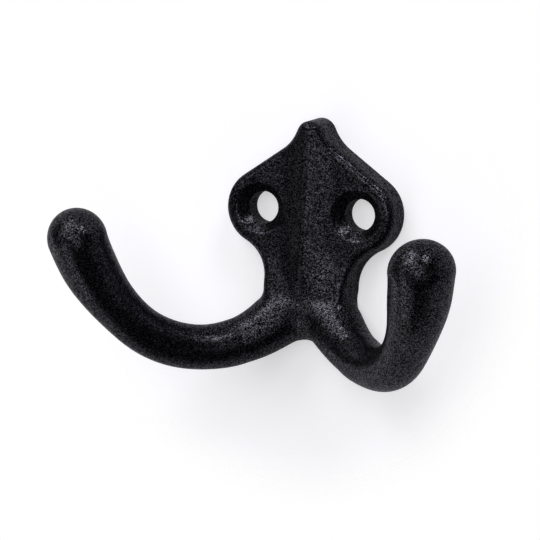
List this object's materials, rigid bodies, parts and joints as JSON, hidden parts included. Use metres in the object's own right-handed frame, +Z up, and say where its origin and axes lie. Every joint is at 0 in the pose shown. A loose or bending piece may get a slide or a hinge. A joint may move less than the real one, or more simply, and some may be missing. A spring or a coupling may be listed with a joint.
{
  "type": "wall hook",
  "caption": "Cast wall hook with a shaped, ridged back plate, countersunk screw holes, and splayed, upturned round arms that end in bulbs.",
  "frame": {"origin": "on the back face, midway between the two screw holes", "axes": "+X to the right as seen from the front, +Z up, and -Y out of the wall toward the front"},
  "size_m": [0.0682, 0.0326, 0.0414],
  "materials": {
    "black_coat": "satin"
  },
  "bodies": {
    "root": {"double_hook": "black_coat"}
  },
  "joints": []
}
